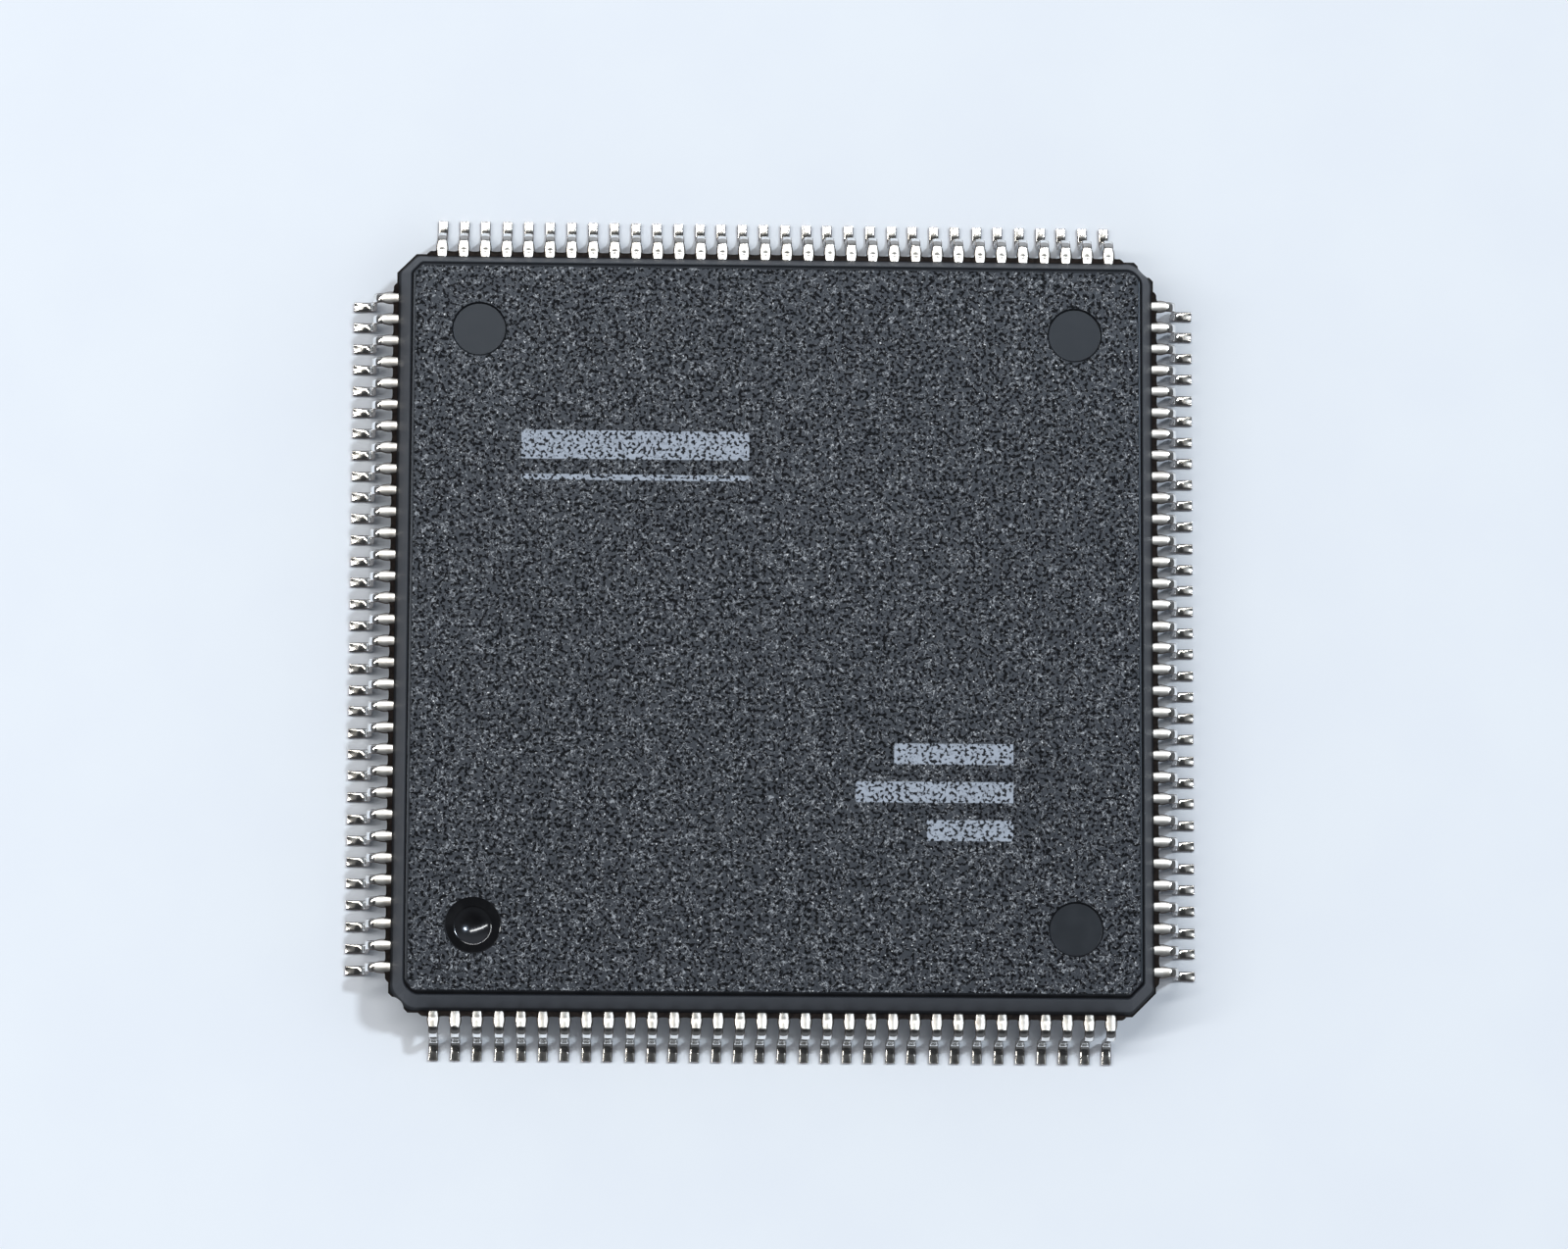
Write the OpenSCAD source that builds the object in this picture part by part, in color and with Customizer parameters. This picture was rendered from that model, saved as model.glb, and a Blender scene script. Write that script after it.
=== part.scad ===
// Plastic quad flat pack: a moulded body over a stamped lead frame, with gull-wing leads on all four sides.
// Millimetres. +Z is up, the origin is the middle of the seating plane under the feet, and pin one is at -X -Y.

/* [Lead rows] */
// Leads on each of the four sides
leads_per_side = 32; // [12:1:40]
// Distance between neighbouring leads at the body
lead_pitch = 0.8; // [0.65:0.01:1.0]
// From the middle of a row's last lead to the body's corner
row_margin = 1.6; // [1.35:0.05:2.2]
// Thickness of the lead frame strip
lead_t = 0.16; // [0.12:0.01:0.2]
// Width of a lead
lead_w = 0.35; // [0.25:0.01:0.4]
// How far a lead reaches out of the body, in plan
lead_reach = 1.7; // [1.5:0.05:2.1]
// Straight shoulder between the body and the upper bend
shoulder_len = 0.55; // [0.5:0.01:0.6]
// Flat sole of the foot
foot_len = 0.5; // [0.4:0.01:0.6]
// Bend radius at the middle of the strip
bend_r = 0.3; // [0.2:0.01:0.32]

/* [Trimmed dam bar] */
// Width of a lead across the two stubs left by the cut bar
stub_w = 0.46; // [0.42:0.01:0.55]
// Length of the stubs along the lead
stub_len = 0.28; // [0.16:0.01:0.3]
// Length of the slope at each end of a stub
stub_slope = 0.07; // [0.02:0.01:0.08]

/* [Moulded body] */
// Gap between the seating plane and the underside
standoff = 0.35; // [0.2:0.01:0.5]
// Height of the moulding above the parting plane
upper_h = 1.7; // [1.3:0.05:2.0]
// Height of the moulding below the parting plane
lower_h = 1.7; // [1.3:0.05:2.0]
// Draft of the side walls, from upright
draft = 17; // [8:0.5:20]
// Radius along the edges of the top and the underside
edge_r = 0.2; // [0.1:0.01:0.3]
// Leg of the cut-off corners at the parting plane
corner_cut = 0.68; // [0.5:0.01:0.9]
// Leg of the cut-off corner at the mould's gate
gate_cut = 0.84; // [0.7:0.01:1.0]
// Radius of the hollows where the corner posts were punched off
notch_r = 0.45; // [0.35:0.01:0.6]
// Depth of those hollows
notch_depth = 0.07; // [0.03:0.01:0.1]
// How far the web of resin between the leads stands out of the walls
web_out = 0.17; // [0.08:0.01:0.2]
// How far the web runs past a row's last lead
web_past = 0.6; // [0.4:0.01:0.65]

/* [Marks in the body] */
// From the body's sides to the middle of each round mark
mark_inset = 3.03; // [2.2:0.01:4]
// Diameter of the ejector pin marks
ejector_d = 1.93; // [1:0.01:2.5]
// Depth of the ejector pin marks
ejector_depth = 0.08; // [0.03:0.01:0.15]
// Diameter of the pin one mark's flat rim
dimple_d = 2.03; // [1.6:0.01:2.5]
// Depth of the pin one mark's flat rim
dimple_rim_depth = 0.06; // [0.03:0.01:0.12]
// Diameter of the polished bowl in the pin one mark
bowl_d = 1.43; // [1:0.01:1.55]
// Depth of the bowl below the rim
bowl_depth = 0.2; // [0.1:0.01:0.3]

/* [Chip and paddle] */
// Side of the square silicon chip
die_w = 6.4; // [4.5:0.1:9]
// Thickness of the chip
die_t = 0.35; // [0.2:0.01:0.45]
// Thickness of the glue under the chip
glue_t = 0.03; // [0.02:0.005:0.06]
// How far the glue squeezes out past the chip
glue_out = 0.15; // [0.05:0.01:0.3]
// Width of the paddle left bare round the chip
paddle_margin = 0.5; // [0.35:0.01:0.9]
// How far the paddle is pressed down below the leads
downset = 0.25; // [0.2:0.01:0.4]
// Slope of the pressed stretch of the tie bars
downset_slope = 30; // [20:1:45]
// Flat stretch of a tie bar between the paddle's corner and the slope
tie_flat = 0.3; // [0.1:0.01:0.6]
// Width of the tie bars that carry the paddle
tie_w = 0.4; // [0.25:0.01:0.5]
// Clear gap between a tie bar and the leads beside it
tie_gap = 0.25; // [0.15:0.01:0.35]

/* [Lead tips and wires] */
// Gap between the paddle and the inner ends of the leads
tip_gap = 1.2; // [0.8:0.05:2]
// Clear gap between the inner ends of neighbouring leads
tip_space = 0.13; // [0.1:0.01:0.16]
// From the inner end of a lead to the wire's landing
landing = 0.3; // [0.22:0.01:0.5]
// Diameter of the bond wires
wire_d = 0.03; // [0.02:0.002:0.036]
// Diameter of the ball bonds
ball_d = 0.08; // [0.06:0.005:0.1]
// Height of the ball bonds
ball_h = 0.02; // [0.015:0.001:0.03]
// Height of a wire's loop above the chip
loop_h = 0.22; // [0.16:0.01:0.3]
// Radius of the wire's turn at the top of the loop
loop_r = 0.06; // [0.04:0.005:0.08]
// From the chip's edge to the row of pads
pad_inset = 0.12; // [0.08:0.01:0.2]
// From the chip's edge to the first pad of a row
pad_corner = 0.4; // [0.3:0.01:0.6]

/* [Hidden] */
$fn = 48;
edge_steps = 5;
bend_steps = 6;
root2 = sqrt(2);
past = 1;

// Plan sizes and levels
row_half = lead_pitch * (leads_per_side - 1) / 2;
body_half = row_half + row_margin;
mark_at = body_half - mark_inset;
part_z = standoff + lower_h;
top_z = part_z + upper_h;
blade_z = part_z - lead_t / 2;

// The leads' bent stretch, measured at the middle of the strip
bend_x = body_half + shoulder_len;
toe_x = body_half + lead_reach;
heel_x = toe_x - foot_len;
sole_z = lead_t / 2;
fall_x = heel_x - bend_x;
fall_z = part_z - sole_z - 2 * bend_r;
fall = norm([fall_x, fall_z]);
bend_turn = atan2(fall_z, fall_x) + asin(2 * bend_r / fall);

// The lead frame's inner plan: the tie bars' clear gap is the same at the knee and at the tip
paddle_half = die_w / 2 + paddle_margin;
tip_x = paddle_half + tip_gap;
tie_clear = root2 * (tie_w / 2 + tie_gap);
tip_row_half = (tip_x - tie_clear + tip_space / 2) / (1 + 1 / (leads_per_side - 1));
tip_pitch = 2 * tip_row_half / (leads_per_side - 1);
tip_w = tip_pitch - tip_space;
knee_x = row_half + lead_w / 2 + tie_clear;

// Levels of what lies on the paddle
blade_top_z = part_z + lead_t / 2;
paddle_z = blade_z - downset;
glue_z = paddle_z + lead_t;
die_z = glue_z + glue_t;
die_top_z = die_z + die_t;
pad_x = die_w / 2 - pad_inset;
pad_half = die_w / 2 - pad_corner;

// Place of a lead along its row, counted from 0, at the body, at its tip and at a distance x from the middle
function share(i) = 2 * i / (leads_per_side - 1) - 1;
function lead_y(i) = share(i) * row_half;
function tip_y(i) = share(i) * tip_row_half;
function finger_y(i, x) = tip_y(i) + (lead_y(i) - tip_y(i)) * (x - tip_x) / (knee_x - tip_x);

// Outline of the moulding in section, on one side, for a wall that reaches out to x at the parting plane.
// rise is the height of that half, and way is 1 for the upper half and -1 for the lower one.
function rounded_edge(x, rise, way) =
    let (centre = x - (edge_r + sin(draft) * (rise - edge_r)) / cos(draft))
    [for (k = [0:edge_steps])
        let (a = draft + (90 - draft) * k / edge_steps)
        [centre + edge_r * cos(a), part_z + way * (rise - edge_r + edge_r * sin(a))]];

function reversed(list) = [for (k = [len(list) - 1:-1:0]) list[k]];

function wall(x) = concat(reversed(rounded_edge(x, lower_h, -1)), [[x, part_z]], rounded_edge(x, upper_h, 1));

// A slab with drafted walls at its two ends, which reach out by right and left
module drafted_slab(right, left) {
    left_wall = [for (p = reversed(wall(left))) [-p.x, p.y]];
    rotate([90, 0, 0])
        linear_extrude(height = 4 * body_half, center = true)
            polygon(concat(wall(right), left_wall));
}

// The mould's cavity: square, drafted both ways from the parting plane, with its four corners cut off
module cavity() {
    diagonal = body_half * root2;
    intersection() {
        drafted_slab(body_half, body_half);
        rotate(90) drafted_slab(body_half, body_half);
        rotate(45) drafted_slab(diagonal - corner_cut / root2, diagonal - corner_cut / root2);
        rotate(-45) drafted_slab(diagonal - gate_cut / root2, diagonal - corner_cut / root2);
    }
}

// Resin that filled the space between the leads, out to the dam bar
module web() {
    for (turn = [0, 90])
        rotate(turn)
            translate([-body_half - web_out, -row_half - web_past, blade_z])
                cube([2 * (body_half + web_out), 2 * (row_half + web_past), lead_t]);
}

// Hollows that the punch left in two opposite corners
module corner_notches() {
    face = body_half * root2 - corner_cut / root2;
    for (turn = [45, 225])
        rotate(turn)
            translate([face - notch_depth + notch_r, 0, standoff - past])
                cylinder(r = notch_r, h = top_z - standoff + 2 * past);
}

// A flat round mark as deep as depth, in the top or, with way -1, in the underside
module round_mark(d, depth, way) {
    translate([0, 0, way > 0 ? top_z - depth : standoff - past])
        cylinder(d = d, h = depth + past);
}

// The pin one mark: a flat rim with a polished bowl in it
module pin_one_mark() {
    ball_r = (bowl_d * bowl_d / 4 + bowl_depth * bowl_depth) / (2 * bowl_depth);
    round_mark(dimple_d, dimple_rim_depth, 1);
    translate([0, 0, top_z - dimple_rim_depth - bowl_depth + ball_r])
        sphere(r = ball_r);
}

// The flat stretch of a lead: inner finger, dam bar stubs and shoulder, for the side that faces +X
module blade(i) {
    lean = tip_y(i) - lead_y(i);
    stub_x = body_half + web_out;
    stations = [
        [tip_x, lean, tip_w],
        [knee_x, 0, lead_w],
        [stub_x, 0, lead_w],
        [stub_x + stub_slope, 0, stub_w],
        [stub_x + stub_len - stub_slope, 0, stub_w],
        [stub_x + stub_len, 0, lead_w],
        [bend_x, 0, lead_w]
    ];
    left = [for (s = stations) [s[0], s[1] + s[2] / 2]];
    right = [for (s = stations) [s[0], s[1] - s[2] / 2]];
    translate([0, lead_y(i), blade_z])
        linear_extrude(height = lead_t)
            polygon(concat(right, reversed(left)));
}

// Points on an arc about the point centre, from one angle to another
function arc(centre, r, from, to) =
    [for (k = [0:bend_steps]) let (a = from + (to - from) * k / bend_steps) centre + r * [cos(a), sin(a)]];

// The line of the gull wing's strip at a distance off from its middle, from the shoulder to the toe
function wing_line(off) = concat(
    arc([bend_x, part_z - bend_r], bend_r + off, 90, 90 - bend_turn),
    arc([heel_x, sole_z + bend_r], bend_r - off, 270 - bend_turn, 270),
    [[toe_x, sole_z + off]]
);

// The bent stretch of a lead, folded down to its flat foot, for the side that faces +X
module gull_wing(i) {
    translate([0, lead_y(i), 0])
        rotate([90, 0, 0])
            linear_extrude(height = lead_w, center = true)
                polygon(concat(wing_line(-lead_t / 2), reversed(wing_line(lead_t / 2))));
}

module lead_row(turn) {
    color("silver")
        rotate(turn)
            for (i = [0:leads_per_side - 1])
                union() {
                    blade(i);
                    gull_wing(i);
                }
}

module leads_south() lead_row(-90);
module leads_east() lead_row(0);
module leads_north() lead_row(90);
module leads_west() lead_row(180);

// One of the bars that run from the paddle up to the lead plane and out to a cut-off corner
module tie_bar(corner) {
    foot = paddle_half * root2 + tie_flat;
    head = foot + downset / tan(downset_slope);
    end = body_half * root2 - corner / root2;
    line = [[0, paddle_z], [foot, paddle_z], [head, blade_z], [end, blade_z]];
    rotate([90, 0, 0])
        linear_extrude(height = tie_w, center = true)
            polygon(concat(line, reversed([for (p = line) p + [0, lead_t]])));
}

// The pressed-down paddle with its four tie bars, stamped from the same strip as the leads
module die_paddle() {
    color("darkgoldenrod") {
        translate([-paddle_half, -paddle_half, paddle_z])
            cube([2 * paddle_half, 2 * paddle_half, lead_t]);
        difference() {
            for (turn = [45, 225]) rotate(turn) tie_bar(corner_cut);
            corner_notches();
        }
        rotate(135) tie_bar(corner_cut);
        rotate(-45) tie_bar(gate_cut);
    }
}

// Silver-filled glue under the chip; sunk is how far the room for it reaches into the paddle
module die_glue(sunk = 0) {
    side = die_w + 2 * glue_out;
    color("gainsboro")
        translate([-side / 2, -side / 2, glue_z - sunk])
            cube([side, side, glue_t + sunk]);
}

// The chip; sunk is how far the room for it reaches into the glue
module silicon_die(sunk = 0) {
    color("slategray")
        translate([-die_w / 2, -die_w / 2, die_z - sunk])
            cube([die_w, die_w, die_t + sunk]);
}

// A gold wire from a pad on the chip, up, over and down to its lead, for the side that faces +X
module bond_wire(i) {
    pad = [pad_x, share(i) * pad_half];
    land = [tip_x + landing, finger_y(i, tip_x + landing)];
    run = norm(land - pad) - loop_r;
    drop = die_top_z + loop_h - wire_d / 2 - loop_r - blade_top_z;
    // The span leaves the turn on its tangent and comes down to the top of the lead
    slope = asin(loop_r / norm([run, drop])) + atan2(drop, run);
    turn = 90 + slope;
    span = sqrt(run * run + drop * drop - loop_r * loop_r);
    turn_z = loop_h - wire_d / 2 - loop_r;
    sunk = wire_d / sin(slope);
    difference() {
        translate([pad.x, pad.y, die_top_z])
            rotate(atan2(land.y - pad.y, land.x - pad.x)) {
                cylinder(d = ball_d, h = ball_h);
                translate([0, 0, ball_h]) cylinder(d = wire_d, h = turn_z - ball_h);
                translate([loop_r, 0, turn_z])
                    rotate([90, 0, 0]) {
                        rotate(180 - turn)
                            rotate_extrude(angle = turn)
                                translate([loop_r, 0]) circle(d = wire_d);
                        rotate(180 - turn)
                            translate([loop_r, 0, 0])
                                rotate([90, 0, 0])
                                    cylinder(d = wire_d, h = span + sunk);
                    }
            }
        translate([tip_x, land.y - past, blade_top_z - past])
            cube([2 * past, 2 * past, past]);
    }
}

module wire_row(turn) {
    color("gold")
        rotate(turn)
            for (i = [0:leads_per_side - 1])
                bond_wire(i);
}

module bond_wires_south() wire_row(-90);
module bond_wires_east() wire_row(0);
module bond_wires_north() wire_row(90);
module bond_wires_west() wire_row(180);

// Black moulding compound, which fills the mould round the lead frame, the chip and the wires
module moulded_body() {
    color("dimgray")
        difference() {
            union() {
                difference() {
                    cavity();
                    corner_notches();
                }
                web();
            }
            for (turn = [-90, 0, 90])
                rotate(turn) translate([mark_at, mark_at, 0]) round_mark(ejector_d, ejector_depth, 1);
            for (turn = [0:90:270])
                rotate(turn) translate([mark_at, mark_at, 0]) round_mark(ejector_d, ejector_depth, -1);
            translate([-mark_at, -mark_at, 0]) pin_one_mark();
            die_paddle();
            die_glue(lead_t / 2);
            silicon_die(glue_t / 2);
            for (turn = [0:90:270]) {
                rotate(turn)
                    for (i = [0:leads_per_side - 1])
                        blade(i);
                wire_row(turn);
            }
        }
}

moulded_body();
leads_south();
leads_east();
leads_north();
leads_west();
die_paddle();
die_glue();
silicon_die();
bond_wires_south();
bond_wires_east();
bond_wires_north();
bond_wires_west();
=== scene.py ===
import math
import random

import bmesh
import bpy
from mathutils import Matrix, Vector


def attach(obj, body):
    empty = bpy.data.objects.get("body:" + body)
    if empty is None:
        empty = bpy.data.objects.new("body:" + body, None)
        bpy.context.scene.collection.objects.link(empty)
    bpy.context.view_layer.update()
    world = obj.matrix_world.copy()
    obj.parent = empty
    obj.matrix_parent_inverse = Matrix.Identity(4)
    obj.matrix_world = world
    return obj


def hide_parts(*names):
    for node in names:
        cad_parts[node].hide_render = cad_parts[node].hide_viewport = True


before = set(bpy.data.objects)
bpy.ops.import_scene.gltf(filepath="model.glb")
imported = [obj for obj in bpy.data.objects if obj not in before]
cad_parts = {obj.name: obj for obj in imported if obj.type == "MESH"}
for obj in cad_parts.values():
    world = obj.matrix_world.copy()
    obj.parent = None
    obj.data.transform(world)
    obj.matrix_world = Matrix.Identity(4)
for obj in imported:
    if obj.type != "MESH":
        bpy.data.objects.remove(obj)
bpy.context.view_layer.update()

# Camera
# A long lens, held just south of upright over the part, a little to its left, with a trace of turn.
mm = 0.001
eye = Vector((-8.283, -26.861, 210.943)) * mm
lens_tilt = (7.403, -2.395, 0.2265)
lens_mm = 131.26
sensor_mm = 36
nearest = 10 * mm

camera = bpy.data.objects.new("camera", bpy.data.cameras.new("camera"))
camera.data.lens = lens_mm
camera.data.sensor_width = sensor_mm
camera.data.clip_start = nearest
camera.location = eye
camera.rotation_euler = [math.radians(turn) for turn in lens_tilt]
bpy.context.scene.collection.objects.link(camera)
bpy.context.scene.camera = camera
bpy.context.scene.view_settings.view_transform = "Standard"


# Studio floor
# A wide sheet of smooth pale card that the part lies on, faintly mottled as card is.
class Signal:
    """A shader socket that takes part in plain arithmetic: each operator adds its Math node."""

    def __init__(self, tree, socket=None):
        self.tree = tree
        self.socket = socket

    def plug(self, node, inputs):
        """Sets or links the inputs of a node by name or number."""
        for name, value in inputs.items():
            if isinstance(value, Signal):
                self.tree.links.new(value.socket, node.inputs[name])
            else:
                node.inputs[name].default_value = value

    def node(self, kind, settings, inputs, output=0):
        """Adds a node of that type, with its settings first and then its inputs, and gives one output."""
        made = self.tree.nodes.new("ShaderNode" + kind)
        for name, value in settings.items():
            setattr(made, name, value)
        self.plug(made, inputs)
        return Signal(self.tree, made.outputs[output])

    def math(self, operation, *values):
        return self.node("Math", {"operation": operation}, dict(enumerate(values)))

    def __add__(self, other):
        return self.math("ADD", self, other)

    def __sub__(self, other):
        return self.math("SUBTRACT", self, other)

    def __mul__(self, other):
        return self.math("MULTIPLY", self, other)

    def __radd__(self, other):
        return self.math("ADD", other, self)

    def __rsub__(self, other):
        return self.math("SUBTRACT", other, self)

    def __rmul__(self, other):
        return self.math("MULTIPLY", other, self)

    def __abs__(self):
        return self.math("ABSOLUTE", self)

    def larger(self, other):
        return self.math("MAXIMUM", self, other)

    def rise(self, low, high):
        """0 below low, 1 above high and a smooth step between; low may be the larger one."""
        return self.node("MapRange", {"interpolation_type": "SMOOTHSTEP"},
                         {"Value": self, "From Min": low, "From Max": high})

    def axes(self):
        return [self.node("SeparateXYZ", {}, {"Vector": self}, axis) for axis in "XYZ"]

    def noise(self, size, detail=2.0, rough=0.5, warp=0.0):
        """Soft noise on these coordinates, in lumps of about that size."""
        return self.node("TexNoise", {}, {"Vector": self, "Scale": 1 / size, "Detail": detail,
                                          "Roughness": rough, "Distortion": warp})

    def patches(self, size, low, high, detail=2.0, rough=0.5):
        """Patches of about that size, 1 where such noise is past high and 0 where it is short of low."""
        return self.noise(size, detail, rough).rise(low, high)

    def blend(self, first, second):
        """A colour between two, by this value; a Mix node has its colours at inputs 6, 7 and output 2."""
        return self.node("Mix", {"data_type": "RGBA"}, {0: self, 6: first, 7: second}, 2)

    def bump(self, depth):
        """A normal from this height, where a height of 1 stands depth metres proud."""
        return self.node("Bump", {}, {"Strength": 1.0, "Distance": depth, "Height": self})


def colour(red, green, blue):
    """A colour as a picture gives it, 0 to 255, in the linear values that shaders take."""
    return tuple((c / 255 / 12.92 if c < 10.3 else ((c / 255 + 0.055) / 1.055) ** 2.4)
                 for c in (red, green, blue)) + (1.0,)


def new_finish(name):
    """A new material, its shader, and the piece's own coordinates to draw patterns on."""
    material = bpy.data.materials.new(name)
    material.use_nodes = True
    tree = material.node_tree
    return material, tree.nodes["Principled BSDF"], Signal(tree).node("TexCoord", {}, {}, "Object")


def add_piece(name, bm, material, crisp=40):
    """An object at the origin from a bmesh, with smooth faces and edges crisp past an angle in degrees."""
    mesh = bpy.data.meshes.new(name)
    bm.to_mesh(mesh)
    bm.free()
    mesh.materials.append(material)
    mesh.shade_smooth()
    mesh.set_sharp_from_angle(angle=math.radians(crisp))
    piece = bpy.data.objects.new(name, mesh)
    bpy.context.scene.collection.objects.link(piece)
    return piece


floor_half = 1.5
floor_tone = colour(231, 239, 250)
floor_mottle = colour(229, 237, 249)
mottle_patches = (6 * mm, 0.3, 0.7, 3)

card, shader, place = new_finish("pale_card")
mottle = place.patches(*mottle_patches)
place.plug(shader, {"Base Color": mottle.blend(floor_tone, floor_mottle), "Roughness": 0.9,
                    "Specular IOR Level": 0.1})
bm = bmesh.new()
bmesh.ops.create_grid(bm, x_segments=1, y_segments=1, size=floor_half)
floor = add_piece("studio_floor", bm, card)

# Studio light
# A small cool lamp from the right, a long warm strip over the left, soft fills on three sides that leave
# no mirror image, and a room that is dark overhead, where the camera is, dim at its sides and paler behind.
key_toward = Vector((0.47, 0.30, 1))
key_degrees = 5
key_level = 1.06
key_tint = (0.94, 1.0, 1.03)
strip_middle = Vector((-0.27, 0.1175, 0.50))
strip_along = Vector((-0.967, -0.253, 0))
strip_length = 0.70
strip_width = 0.05
strip_power = 1.78
strip_tint = (1.05, 1.01, 0.94)
fill_out = 0.8
fill_up = 0.6
fill_size = 0.80
fills = {"fill_east": (1, 0, 1.55), "fill_west": (-1, 0, 1.55), "fill_south": (0, -1, 1.2)}
room_tint = (0.96, 1.0, 1.06)
overhead_level = 0.03
side_level = 0.09
side_range = (0.92, 0.60)
behind_level = 0.27
behind_range = (0.25, 0.75)
backdrop_rise = 0.10


def hang(name, kind, back, along, **settings):
    """A lamp that shines against the direction back, with its own X axis along another direction."""
    data = bpy.data.lights.new(name, kind)
    for setting, value in settings.items():
        setattr(data, setting, value)
    lamp = bpy.data.objects.new(name, data)
    z = back.normalized()
    y = z.cross(along).normalized()
    lamp.matrix_world = Matrix((y.cross(z), y, z)).transposed().to_4x4()
    bpy.context.scene.collection.objects.link(lamp)
    return lamp


hang("key_lamp", "SUN", key_toward, Vector((1, 0, 0)), energy=key_level, color=key_tint,
     angle=math.radians(key_degrees))
strip = hang("strip_lamp", "AREA", Vector((0, 0, 1)), strip_along, energy=strip_power, color=strip_tint,
             shape="RECTANGLE", size=strip_length, size_y=strip_width)
strip.location = strip_middle
for name, (x, y, power) in fills.items():
    toward = Vector((x * fill_out, y * fill_out, fill_up))
    fill = hang(name, "AREA", toward, Vector((-y, x, 0)), energy=power, size=fill_size)
    fill.location = toward
    fill.visible_glossy = False

room = bpy.data.worlds.new("dim_room")
bpy.context.scene.world = room
room.use_nodes = True
north, up = Signal(room.node_tree).node("TexCoord", {}, {}, "Generated").axes()[1:]
glow = overhead_level + side_level * up.rise(*side_range) + behind_level * north.rise(*behind_range)
room_light = up.node("CombineColor", {}, {band: glow * tint for band, tint in enumerate(room_tint)})
seen, mirrored, sent = (up.node("LightPath", {}, {}, "Is " + ray + " Ray")
                        for ray in ("Camera", "Glossy", "Transmission"))
shows = seen.larger((mirrored + sent) * up.rise(backdrop_rise, 0))
up.plug(room.node_tree.nodes["Background"], {"Color": shows.blend(room_light, floor_tone), "Strength": 1.0})

# Moulding
# Black epoxy filled with ground glass, transfer moulded over the lead frame in a two-part steel mould. Its
# cavity was spark eroded, which gives the top its grain; pins and a polished boss left the round marks.
part_z = 2.05 * mm
half_height = 1.70 * mm
body_half = 14.0 * mm
draft = math.radians(17)
edge_r = 0.20 * mm
corner_cut = 0.68 * mm
gate_cut = 0.84 * mm
corner_soft = 0.10 * mm
rim_out = 0.05 * mm
rim_half = 0.05 * mm
post_soft = 0.20 * mm
notch_r = 0.45 * mm
notch_depth = 0.07 * mm
mark_at = body_half - 3.03 * mm
ejector_r = 0.965 * mm
ejector_depth = 0.08 * mm
dimple_r = 1.015 * mm
dimple_depth = 0.06 * mm
bowl_r = 0.715 * mm
bowl_depth = 0.20 * mm
bowl_lip = 0.15 * mm
bowl_steps = 16
mark_lip = 0.05 * mm
lip = 0.012 * mm
weld = lip / 10
top_z = part_z + half_height
underside_z = part_z - half_height
corners = {(1, 1): corner_cut, (-1, 1): corner_cut, (-1, -1): corner_cut, (1, -1): gate_cut}
posts = ((1, 1), (-1, -1))
top_pins = ((1, 1), (-1, 1), (1, -1))
under_pins = ((1, 1), (1, -1), (-1, 1), (-1, -1))

bm = bmesh.new()
bmesh.ops.create_grid(bm, x_segments=1, y_segments=1, size=body_half + rim_out)
for v in list(bm.verts):
    side = (round(v.co.x / body_half), round(v.co.y / body_half))
    bmesh.ops.bevel(bm, geom=[v], offset=corners[side] + rim_out * (2 - math.sqrt(2)), offset_type="OFFSET",
                    affect="VERTICES", segments=1, profile=0.5, material=-1)
plan = bm.faces[:]
for inward, rise in ((0, rim_half), (rim_out, 0), (half_height * math.tan(draft), half_height - rim_half)):
    bmesh.ops.inset_region(bm, faces=plan, thickness=inward, depth=rise, use_even_offset=True,
                           use_boundary=True)
for face in bm.faces:
    face.material_index = int(max(v.co.z for v in face.verts) < half_height / 2)
bmesh.ops.mirror(bm, geom=bm.verts[:] + bm.edges[:] + bm.faces[:], axis="Z", merge_dist=weld)
for soft, at_posts in ((corner_soft, False), (post_soft, True)):
    upright = [e for e in bm.edges if abs(e.verts[0].co.z - e.verts[1].co.z) > half_height / 2]
    chosen = [e for e in upright if (e.verts[0].co.x * e.verts[0].co.y > 0) == at_posts]
    bmesh.ops.bevel(bm, geom=chosen, offset=soft, offset_type="OFFSET", affect="EDGES",
                    segments=4, profile=0.5, material=-1)
edge_run = edge_r * math.tan((math.pi / 2 - draft) / 2)
face_edges = [e for z in (half_height, -half_height) for e in bm.edges
              if all(abs(v.co.z - z) < lip for v in e.verts)]
bmesh.ops.bevel(bm, geom=face_edges, offset=edge_run, offset_type="OFFSET", affect="EDGES",
                segments=6, profile=0.5, material=-1)
bmesh.ops.translate(bm, verts=bm.verts[:], vec=(0, 0, part_z))
bmesh.ops.recalc_face_normals(bm, faces=bm.faces[:])


def turned(cutter, middle, outline):
    """Adds a round cutter at a place, turned from an outline of (radius, height) points."""
    before = set(cutter.verts)
    chain = [cutter.verts.new((radius, 0, z)) for radius, z in outline]
    edges = [cutter.edges.new(pair) for pair in zip(chain, chain[1:])]
    bmesh.ops.spin(cutter, geom=chain + edges, cent=(0, 0, 0), axis=(0, 0, 1), angle=math.tau,
                   steps=96, use_merge=True)
    bmesh.ops.translate(cutter, verts=[v for v in cutter.verts if v not in before], vec=middle)


def flat_mark(r, depth):
    """Outline of a flat-bottomed mark with a soft foot and lip, from its middle up past the surface."""
    start = max(-mark_lip, 3 * lip - depth)
    return [(0, -depth), (r - 2 * lip, -depth), (r - 0.5 * lip, -depth + 0.5 * lip), (r, -depth + 2 * lip),
            (r, start), (r + 3 * lip - start, 3 * lip), (0, 3 * lip)]


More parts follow.
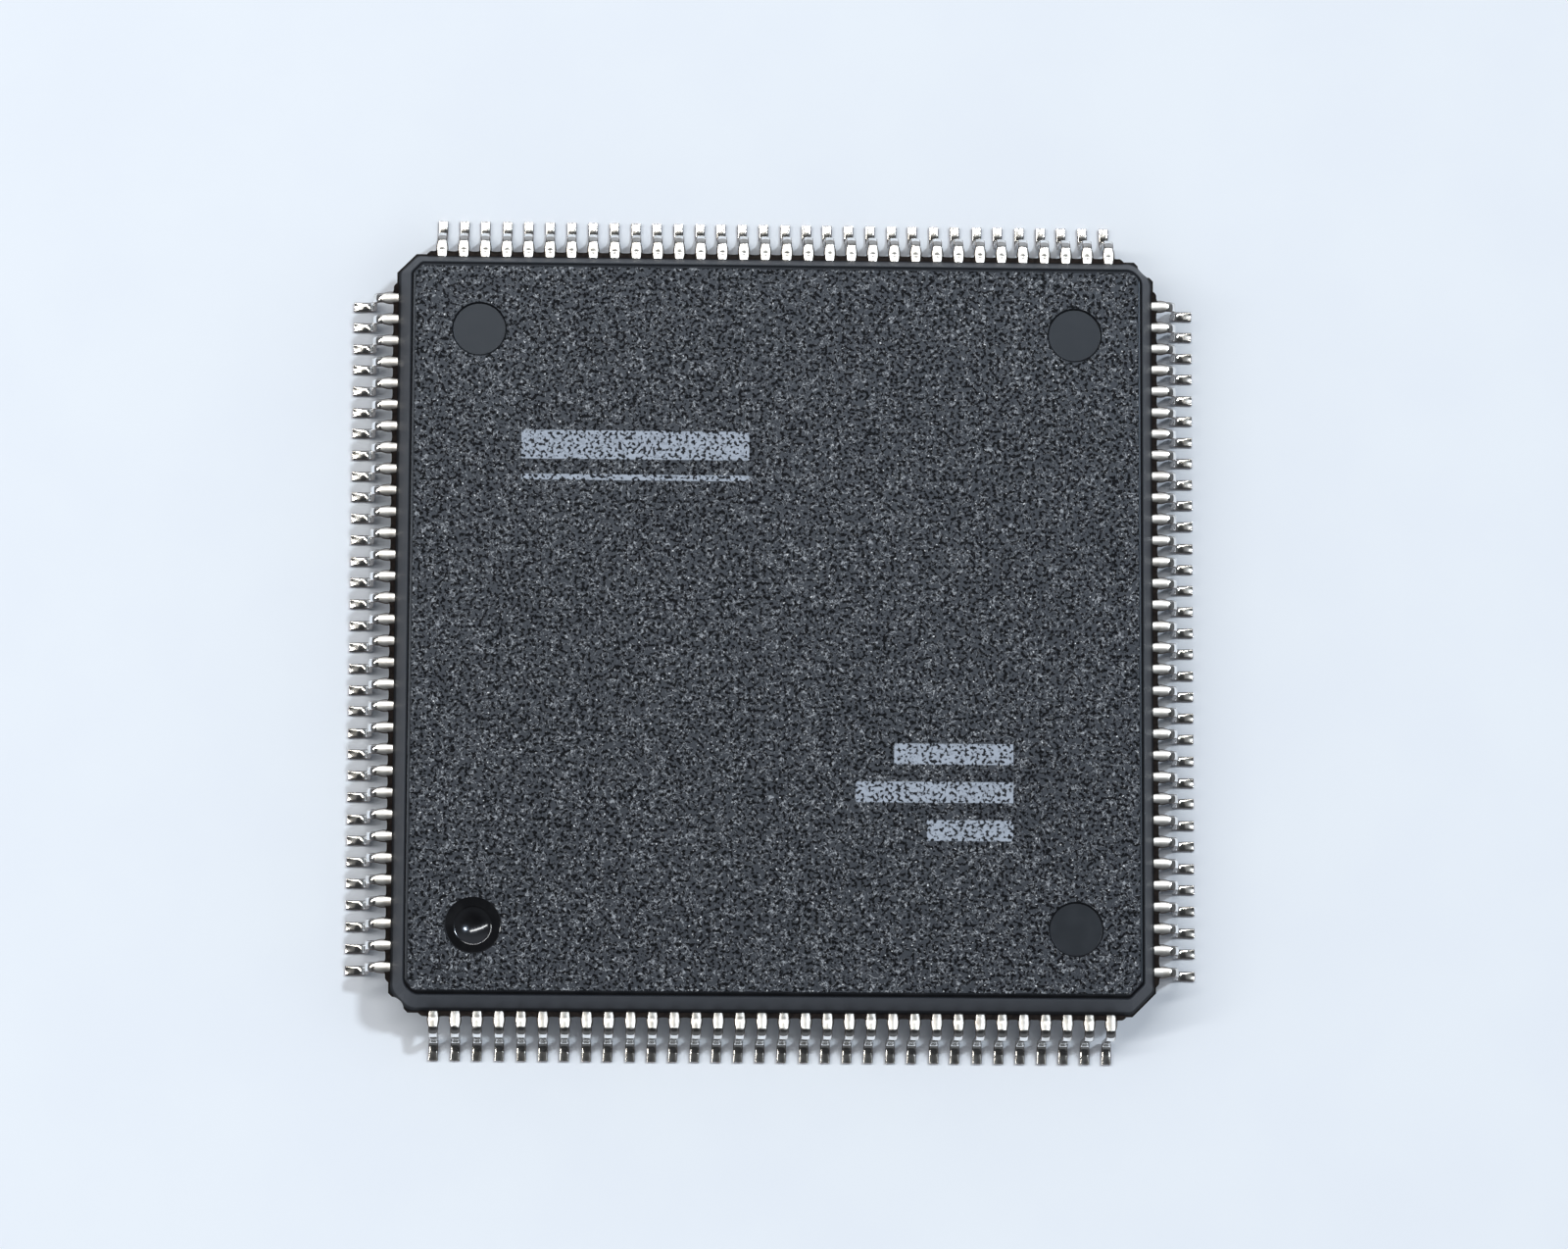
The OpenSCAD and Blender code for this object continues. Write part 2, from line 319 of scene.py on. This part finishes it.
cutter = bmesh.new()
ejector = flat_mark(ejector_r, ejector_depth)
for x, y in top_pins:
    turned(cutter, (x * mark_at, y * mark_at, top_z), ejector)
for x, y in under_pins:
    turned(cutter, (x * mark_at, y * mark_at, underside_z), [(r, -z) for r, z in ejector])
ball_r = (bowl_r ** 2 + bowl_depth ** 2) / (2 * bowl_depth) - bowl_lip
bowl_turn = math.asin(bowl_r / (ball_r + bowl_lip))
turns = [bowl_turn * k / bowl_steps for k in range(bowl_steps + 1)]
bowl = [(ball_r * math.sin(turn), ball_r * (1 - math.cos(turn)) - bowl_depth) for turn in turns]
bowl += [(bowl_r - bowl_lip * math.sin(turn), bowl_lip * (math.cos(turn) - 1)) for turn in turns[-2::-1]]
dimple = [(r, z - dimple_depth) for r, z in bowl] + flat_mark(dimple_r, dimple_depth)[1:]
turned(cutter, (-mark_at, -mark_at, top_z), dimple)
notch_at = (body_half * math.sqrt(2) - corner_cut / math.sqrt(2) - notch_depth + notch_r) / math.sqrt(2)
for x, y in posts:
    bmesh.ops.create_cone(cutter, cap_ends=True, segments=64, radius1=notch_r, radius2=notch_r,
                          depth=half_height, matrix=Matrix.Translation((x * notch_at, y * notch_at, part_z)))
bmesh.ops.remove_doubles(cutter, verts=cutter.verts[:], dist=weld)
bmesh.ops.recalc_face_normals(cutter, faces=cutter.faces[:])

# The grain is on the two flat faces only; marks, edges and walls are smooth. Pale ink stamped on the grain
# misses its pits. The grain's colour holds painted light: painted glints, ridges made paler partly as
# painted highlight, and pits darkened with painted shade. Painted shade also darkens the foot of the walls
# along the parting line and the rounded edge round the top.
skin_black = colour(12, 12, 14)
skin_worn = colour(20, 20, 22)
wall_grey = colour(44, 44, 47)
# Painted shade: near black for the grain's pits, and the colour of the dark shader that paints shade below.
painted_shade_black = colour(4, 4, 5)
grain_mid = colour(43, 45, 50)
# Paler ridges of the grain, partly their own tone and partly a painted highlight.
ridge_tone_and_highlight = colour(146, 151, 159)
# Painted glints: bright specks in the colour of the grain.
painted_glint_tone = colour(235, 240, 248)
sheen_blue = (0.70, 0.82, 1.0, 1.0)
ink_pale = colour(158, 168, 184)
ink_edge = 0.04 * mm
ink_missed = 0.85
ink_bars = ((-5.2, 6.7, 8.4, 1.10), (-5.2, 5.5, 8.4, 0.25), (6.5, -4.6, 4.4, 0.80), (5.8, -6.0, 5.8, 0.80),
            (7.1, -7.4, 3.2, 0.80))
skin_patches = (0.7 * mm, 0.35, 0.70, 3)
line_size = 0.17 * mm
line_warp = 0.6
line_range = (0.055, 0.012)
line_patches = (0.24 * mm, 0.40, 0.58, 1)
pit_patches = (0.13 * mm, 0.50, 0.36, 1)
glint_patches = (0.11 * mm, 0.70, 0.76, 1)
grain_depth = 0.04 * mm
grain_level = 0.5
streak_height = 0.4
pit_drop = 0.5
glint_height = 0.4
# How much painted shade darkens the pits.
pit_painted_shade = 0.8
# How much painted shade darkens the foot of the walls.
wall_foot_painted_shade = 0.6
# How much painted shade darkens the rounded edge round the top.
edge_painted_shade = 0.35
plateau_half = body_half - half_height * math.tan(draft) - edge_run
grain_end = plateau_half + 0.01 * mm
grain_full = plateau_half - 0.03 * mm
face_deep = 0.008 * mm
face_thin = 0.002 * mm
polish_end = dimple_r + 0.03 * mm
polish_full = dimple_r - 0.005 * mm
marks_end = mark_at + 1.2 * mm
edges_start = mark_at + 1.4 * mm
wall_from = top_z - 0.12 * mm
wall_full = top_z - 0.16 * mm
edge_from = top_z - 0.004 * mm
edge_full = top_z - 0.02 * mm
wall_shade_end = 0.50 * mm
wall_shade_full = 0.33 * mm
epoxy, shader, place = new_finish("moulded_epoxy")
x, y, z = place.axes()
reach = abs(x).larger(abs(y))
flat = reach.rise(grain_end, grain_full)
on_top = z.rise(top_z - face_deep, top_z - face_thin) * flat
below = z.rise(underside_z + face_deep, underside_z + face_thin) * flat
grained = on_top + below
dx = x + mark_at
dy = y + mark_at
in_dimple = x.math("SQRT", dx * dx + dy * dy).rise(polish_end, polish_full)
polished = in_dimple * (1 - on_top) * z.rise(part_z, top_z)
past_marks = reach.rise(marks_end, edges_start)
walled = past_marks * z.rise(wall_from, wall_full)
edged = past_marks * z.rise(edge_from, edge_full) * (1 - walled)
# Painted shade along the foot of the walls, next to the parting line.
wall_foot_shade_mask = walled * abs(z - part_z).rise(wall_shade_end, wall_shade_full)
skin = place.patches(*skin_patches)
lines = abs(place.noise(line_size, detail=1, warp=line_warp) - 0.5).rise(*line_range)
streaks = lines * place.patches(*line_patches)
pits = place.patches(*pit_patches)
glints = place.patches(*glint_patches)
# The grain's tone, with painted shade in its pits, paler ridges partly painted highlight, and painted glints
# on it.
tone = glints.blend(streaks.blend(pits.blend(grain_mid, painted_shade_black), ridge_tone_and_highlight), painted_glint_tone)
ink = on_top * (1 - ink_missed * pits) * sum(
    abs(x - bar_x * mm).rise(0.5 * wide * mm, 0.5 * wide * mm - ink_edge)
    * abs(y - bar_y * mm).rise(0.5 * tall * mm, 0.5 * tall * mm - ink_edge)
    for bar_x, bar_y, wide, tall in ink_bars)
relief = (grain_level + streak_height * streaks - pit_drop * pits + glint_height * glints) * grained
# Painted shade: a dark dull shader is mixed in over the pits, along the foot of the walls and on the rounded
# top edge.
painted_shade_amount = pit_painted_shade * grained * pits + wall_foot_painted_shade * wall_foot_shade_mask + edge_painted_shade * edged
unprinted = grained.blend(walled.blend(skin.blend(skin_black, skin_worn), wall_grey), tone)
place.plug(shader, {
    "Base Color": ink.blend(unprinted, ink_pale),
    "Roughness": 0.35 + skin * 0.03 + grained * 0.05 - polished * 0.20 + walled * 0.20 - edged * 0.14,
    "Normal": relief.bump(grain_depth),
    "Specular IOR Level": 0.5,
    "Specular Tint": sheen_blue,
    "Coat Weight": polished,
    "Coat Roughness": 0.08,
})
bright_shade = Signal(epoxy.node_tree, shader.outputs["BSDF"])
# The dark dull shader that paints that shade.
painted_shade_bsdf = place.node("BsdfPrincipled", {}, {"Base Color": painted_shade_black, "Roughness": 0.8,
                                               "Specular IOR Level": 0.05})
both = place.node("MixShader", {}, {0: painted_shade_amount, 1: bright_shade, 2: painted_shade_bsdf})
place.plug(epoxy.node_tree.nodes["Material Output"], {"Surface": both})

# The rim and the web are the same resin as it squeezed out, thin, brown and dull.
web_brown = colour(37, 31, 29)
web_black = colour(22, 18, 18)
web_patches = (0.15 * mm, 0.35, 0.65)
web_speck = 0.06 * mm
web_resin, shader, place = new_finish("web_resin")
place.plug(shader, {
    "Base Color": place.patches(*web_patches).blend(web_brown, web_black),
    "Roughness": 0.7 + place.noise(web_speck) * 0.2,
    "Specular IOR Level": 0.2,
})

moulding_crisp = 25
moulding = add_piece("moulding", bm, epoxy, moulding_crisp)
moulding.data.materials.append(web_resin)
cutter_piece = add_piece("mould_pins", cutter, epoxy)
cut = moulding.modifiers.new("marks", "BOOLEAN")
cut.object = cutter_piece
cut.solver = "EXACT"
settled = bpy.context.evaluated_depsgraph_get()
marked = bpy.data.meshes.new_from_object(moulding.evaluated_get(settled))
bpy.data.objects.remove(cutter_piece)
bpy.data.objects.remove(moulding)

# Web
# Resin that ran out between the leads as far as the dam bar, part of the same moulding. It clings to each
# lead's side, so its front is hollow between them.
leads_per_side = 32
lead_pitch = 0.80 * mm
lead_w = 0.35 * mm
lead_t = 0.16 * mm
web_out = 0.22 * mm
web_hollow = 0.05 * mm
web_past = 0.60 * mm
web_root = 0.30 * mm
web_sink = 0.012 * mm
row_half = lead_pitch * (leads_per_side - 1) / 2


def web_block(low, high, slope):
    """One block of web for the side that faces +X, between two places along the row."""
    block = bmesh.new()
    bmesh.ops.create_grid(block, x_segments=1, y_segments=12, size=1)
    for v in block.verts:
        along = v.co.y
        front = v.co.x > 0
        hollow = web_out - web_hollow * (1 - along ** 4)
        v.co = (body_half + (hollow if front else -web_root), low + (high - low) * (along + 1) / 2,
                part_z + lead_t / 2 - web_sink)
        if front and along * slope > 0:
            v.co.x -= web_out * (along * slope) ** 2
    made = bmesh.ops.extrude_face_region(block, geom=block.faces[:])["geom"]
    bmesh.ops.translate(block, verts=[g for g in made if isinstance(g, bmesh.types.BMVert)],
                        vec=(0, 0, 2 * web_sink - lead_t))
    bmesh.ops.recalc_face_normals(block, faces=block.faces[:])
    for face in block.faces:
        face.material_index = 1
    return block


web = bmesh.new()
row_end = row_half + web_past + lead_w / 2
stops = [-row_end] + [lead_pitch * i - row_half for i in range(leads_per_side)] + [row_end]
for low, high in zip(stops, stops[1:]):
    slope = -1 if low == stops[0] else 1 if high == stops[-1] else 0
    block = web_block(low + lead_w / 2, high - lead_w / 2, slope)
    spare = bpy.data.meshes.new("web_block")
    block.to_mesh(spare)
    block.free()
    web.from_mesh(spare)
    bpy.data.meshes.remove(spare)
spare = bpy.data.meshes.new("web_row")
web.to_mesh(spare)
web.free()
bm = bmesh.new()
bm.from_mesh(marked)
for quarter in range(4):
    before = set(bm.verts)
    bm.from_mesh(spare)
    bmesh.ops.rotate(bm, verts=[v for v in bm.verts if v not in before], cent=(0, 0, 0),
                     matrix=Matrix.Rotation(quarter * math.pi / 2, 3, "Z"))
bpy.data.meshes.remove(spare)
bpy.data.meshes.remove(marked)
moulding = add_piece("moulding", bm, epoxy, moulding_crisp)
moulding.data.materials.append(web_resin)
level_normal = 0.9999
for face in moulding.data.polygons:
    face.use_smooth = abs(face.normal.z) < level_normal
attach(moulding, "root")
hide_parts("moulded_body")

# Leads
# Copper alloy strip, stamped with a rolled-over top edge, tin plated, trimmed of its dam bar and folded
# down into gull wings in a press. Inside the moulding each one fans in towards the chip.
lead_reach = 1.70 * mm
shoulder_len = 0.55 * mm
foot_len = 0.50 * mm
bend_r = 0.30 * mm
stub_w = 0.46 * mm
stub_roll = 0.035 * mm
dent_out = 0.22 * mm
dent_r = 0.12 * mm
dents = {"east": (0, 0), "north": (0.034 * mm, 0.034 * mm), "west": (0, 0), "south": (0.010 * mm, 0)}
tip_x = 4.90 * mm
tip_w = 0.1405 * mm
tip_row_half = 4.193 * mm
knee_x = 13.211 * mm
burr_r = 0.045 * mm
crown = 0.022 * mm
level_len = 0.18 * mm
toe_droop = 0.028 * mm
toe_curl = 0.018 * mm
toe_soft = 0.02 * mm
steps = 11
bend_x = body_half + shoulder_len
toe_x = body_half + lead_reach
heel_x = toe_x - foot_len
fall_x = heel_x - bend_x
fall_z = part_z - lead_t / 2 - 2 * bend_r
fall = math.hypot(fall_x, fall_z)
bend_turn = math.atan2(fall_z, fall_x) + math.asin(2 * bend_r / fall)
leg_len = math.sqrt(fall ** 2 - 4 * bend_r ** 2)

lead = bmesh.new()
bmesh.ops.create_grid(lead, x_segments=1, y_segments=1, size=0.5)
bmesh.ops.rotate(lead, verts=lead.verts[:], cent=(0, 0, 0), matrix=Matrix.Rotation(math.pi / 2, 3, "Y"))
bmesh.ops.scale(lead, verts=lead.verts[:], vec=(1, lead_w, lead_t))
bmesh.ops.bevel(lead, geom=lead.verts[:], offset=burr_r, offset_type="OFFSET", affect="VERTICES",
                segments=3, profile=0.5, material=-1)
top_from = lead_t * 0.49
flat_top = [e for e in lead.edges if all(v.co.z > top_from for v in e.verts)]
bmesh.ops.subdivide_edges(lead, edges=flat_top, cuts=5)
for v in lead.verts:
    v.co.z -= crown * (2 * v.co.y / lead_w) ** 2 * (0.5 + v.co.z / lead_t)
bmesh.ops.translate(lead, verts=lead.verts[:], vec=(tip_x, 0, part_z))
end = next(iter(lead.faces))


def pull(end, along, wide=1.0, drop=0.0, roll=0.0):
    """Draws the strip on from its end face; the new end is widened, its top lowered, its sides rolled."""
    made = bmesh.ops.extrude_face_region(lead, geom=[end])["geom"]
    verts = [g for g in made if isinstance(g, bmesh.types.BMVert)]
    bmesh.ops.translate(lead, verts=verts, vec=along)
    bmesh.ops.scale(lead, verts=verts, vec=(1, wide, 1))
    sole = min(v.co.z for v in verts)
    half = max(v.co.y for v in verts)
    for v in verts:
        v.co.z -= (drop + roll * (v.co.y / half) ** 2) * (v.co.z - sole) / lead_t
    return next(g for g in made if isinstance(g, bmesh.types.BMFace))


def fold(end, middle, turn):
    """Folds the strip on round a middle in its own plane."""
    made = bmesh.ops.spin(lead, geom=[end], cent=middle, axis=(0, 1, 0), angle=turn, steps=8)
    return next(g for g in made["geom_last"] if isinstance(g, bmesh.types.BMFace))


end = pull(end, (knee_x - tip_x, 0, 0))
end = pull(end, (body_half - knee_x, 0, 0))
swell = [math.sin(math.pi * k / steps) for k in range(steps + 1)]
widths = [lead_w + (stub_w - lead_w) * part for part in swell]
for k in range(steps):
    end = pull(end, (shoulder_len / steps, 0, 0), wide=widths[k + 1] / widths[k],
               roll=stub_roll * (swell[k + 1] - swell[k]))
end = fold(end, (bend_x, 0, part_z - bend_r), bend_turn)
end = pull(end, (leg_len * math.cos(bend_turn), 0, -leg_len * math.sin(bend_turn)))
end = fold(end, (heel_x, 0, lead_t / 2 + bend_r), -bend_turn)
end = pull(end, (level_len, 0, 0), roll=-crown)
for k in range(steps):
    share = ((k + 1) ** 2 - k ** 2) / steps ** 2
    end = pull(end, ((foot_len - level_len) / steps, 0, 0), drop=share * toe_droop,
               roll=-share * (toe_droop + toe_curl))
bmesh.ops.bevel(lead, geom=end.edges[:], offset=toe_soft, offset_type="OFFSET", affect="EDGES",
                segments=2, profile=0.5, material=-1)
bmesh.ops.recalc_face_normals(lead, faces=lead.faces[:])
blank = bpy.data.meshes.new("lead_blank")
lead.to_mesh(blank)
lead.free()

# The plating is matt as it left the bath, less so on the toes, and burnished where the press folded the
# strip. It is browner and rougher on the faces that look along the row, and missing on the cut ends.
tin_light = colour(248, 248, 247)
tin_dull = colour(220, 218, 214)
side_brown = colour(112, 102, 98)
copper = colour(176, 124, 94)
cloud_patches = (0.45 * mm, 0.42, 0.70, 3, 0.55)
bare_patches = (0.12 * mm, 0.35, 0.6)
swell_size = 0.20 * mm
crystal_size = 0.04 * mm
crystal_rough = 0.6
crystal_share = 0.15
plate_depth = 0.006 * mm
burnished_depth = 0.25
row_facing_range = (0.30, 0.70)
matt_wander = 0.2 * mm
matt_end = bend_x + 0.08 * mm
matt_full = bend_x - 0.02 * mm
toe_from = heel_x + 0.10 * mm
toe_full = heel_x + 0.20 * mm
row_split = 0.01 * mm
bare_from = toe_x - 0.006 * mm
bare_full = toe_x - 0.002 * mm
tin, shader, place = new_finish("tin_plate")
x, y = place.axes()[:2]
reach = abs(x).larger(abs(y))
cloudy = place.patches(*cloud_patches)
swells = place.noise(swell_size)
crystals = place.noise(crystal_size, rough=crystal_rough)
matt = (reach + (swells - 0.5) * matt_wander).rise(matt_end, matt_full)
toe = reach.rise(toe_from, toe_full)
facing_x, facing_y = place.node("NewGeometry", {}, {}, "Normal").axes()[:2]
east_west = (abs(x) - abs(y)).rise(-row_split, row_split)
# Faces that look along the row, found by their normal, are made browner and rougher.
row_facing = (east_west * abs(facing_y) + (1 - east_west) * abs(facing_x)).rise(*row_facing_range)
bare = reach.rise(bare_from, bare_full) * place.patches(*bare_patches)
relief = swells * (1 - crystal_share) + crystals * crystal_share
place.plug(shader, {
    "Base Color": bare.blend(row_facing.blend(cloudy.blend(tin_light, tin_dull), side_brown), copper),
    "Metallic": 1.0,
    "Roughness": 0.08 + matt * 0.24 + toe * 0.08 + crystals * 0.04 + row_facing * 0.10,
    "Normal": (relief * (burnished_depth + (1 - burnished_depth) * matt)).bump(plate_depth),
})

# Each row repeats the blank and fans it in towards the chip. Each lead stands a little askew, and the press
# has dented some of the shoulders.
seed = 32
sway_most = 0.02
twist_most = 0.03
settle_range = (0.006, 0.016)
lead_crisp = 50
draw = random.Random(seed)
for quarter, row_name in enumerate(("east", "north", "west", "south")):
    row = bmesh.new()
    for i in range(leads_per_side):
        share = 2 * i / (leads_per_side - 1) - 1
        shift = share * row_half
        lean = share * tip_row_half - shift
        sway = draw.uniform(-sway_most, sway_most)
        twist = draw.uniform(-twist_most, twist_most)
        settle = draw.uniform(*settle_range) * mm
        before = len(row.verts)
        row.from_mesh(blank)
        row.verts.ensure_lookup_table()
        for v in row.verts[before:]:
            if v.co.z > part_z:
                near = max(0, 1 - math.hypot(v.co.x - body_half - dent_out, v.co.y) / dent_r)
                v.co.z -= dents[row_name][i % 2] * near * near * (3 - 2 * near)
            inside = max(0.0, (knee_x - v.co.x) / (knee_x - tip_x))
            outside = max(0.0, v.co.x - bend_x)
            v.co.z += (settle + twist * v.co.y) * outside / (toe_x - bend_x)
            v.co.y = v.co.y * (1 + (tip_w / lead_w - 1) * inside) + shift + lean * inside + sway * outside
    bmesh.ops.rotate(row, verts=row.verts[:], cent=(0, 0, 0),
                     matrix=Matrix.Rotation(quarter * math.pi / 2, 3, "Z"))
    piece = add_piece("lead_row_" + row_name, row, tin, lead_crisp)
    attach(piece, "root")
    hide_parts("leads_" + row_name)

# Lead frame's middle
# The paddle and its tie bars are the same copper alloy, bare inside the moulding and browned at the four cut
# ends that show in the corners.
copper_bright = colour(150, 104, 78)
copper_brown = colour(96, 70, 56)
cut_brown = colour(40, 34, 32)
tarnish_patches = (0.3 * mm, 0.35, 0.65, 3)
copper_speck = 0.08 * mm
cut_from = body_half - 0.9 * mm
cut_full = body_half - 0.7 * mm
bare_copper, shader, place = new_finish("bare_copper")
x, y = place.axes()[:2]
cut_end = abs(x).larger(abs(y)).rise(cut_from, cut_full)
tarnish = place.patches(*tarnish_patches)
place.plug(shader, {
    "Base Color": cut_end.blend(tarnish.blend(copper_bright, copper_brown), cut_brown),
    "Metallic": 1.0 - 0.8 * cut_end,
    "Roughness": 0.42 + place.noise(copper_speck) * 0.2,
})

# Chip
# Sawn silicon on silver-filled glue, with gold wires that a machine welded as balls on the chip and as
# stitches on the leads. All of it is cast into the moulding.
glue_pale = colour(178, 178, 174)
glue_dull = colour(140, 140, 138)
glue_patches = (0.1 * mm, 0.4, 0.6)
glue_speck = 0.05 * mm
silver_glue, shader, place = new_finish("silver_glue")
place.plug(shader, {
    "Base Color": place.patches(*glue_patches).blend(glue_pale, glue_dull),
    "Metallic": 0.6,
    "Roughness": 0.5 + place.noise(glue_speck) * 0.2,
})
silicon_blue = colour(86, 92, 104)
silicon_violet = colour(98, 90, 108)
silicon_patches = (0.4 * mm, 0.45, 0.55, 1)
silicon_speck = 0.1 * mm
silicon, shader, place = new_finish("silicon")
place.plug(shader, {
    "Base Color": place.patches(*silicon_patches).blend(silicon_blue, silicon_violet),
    "Metallic": 0.8,
    "Roughness": 0.15 + place.noise(silicon_speck) * 0.1,
})
gold_light = colour(236, 196, 110)
gold_deep = colour(220, 174, 84)
gold_patches = (0.05 * mm, 0.4, 0.6)
gold_speck = 0.02 * mm
gold_wire, shader, place = new_finish("gold_wire")
place.plug(shader, {
    "Base Color": place.patches(*gold_patches).blend(gold_light, gold_deep),
    "Metallic": 1.0,
    "Roughness": 0.2 + place.noise(gold_speck) * 0.1,
})
finishes = {"die_paddle": bare_copper, "die_glue": silver_glue, "silicon_die": silicon}
finishes.update({"bond_wires_" + side: gold_wire for side in ("east", "north", "west", "south")})
for name, finish in finishes.items():
    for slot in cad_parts[name].material_slots:
        slot.material = finish
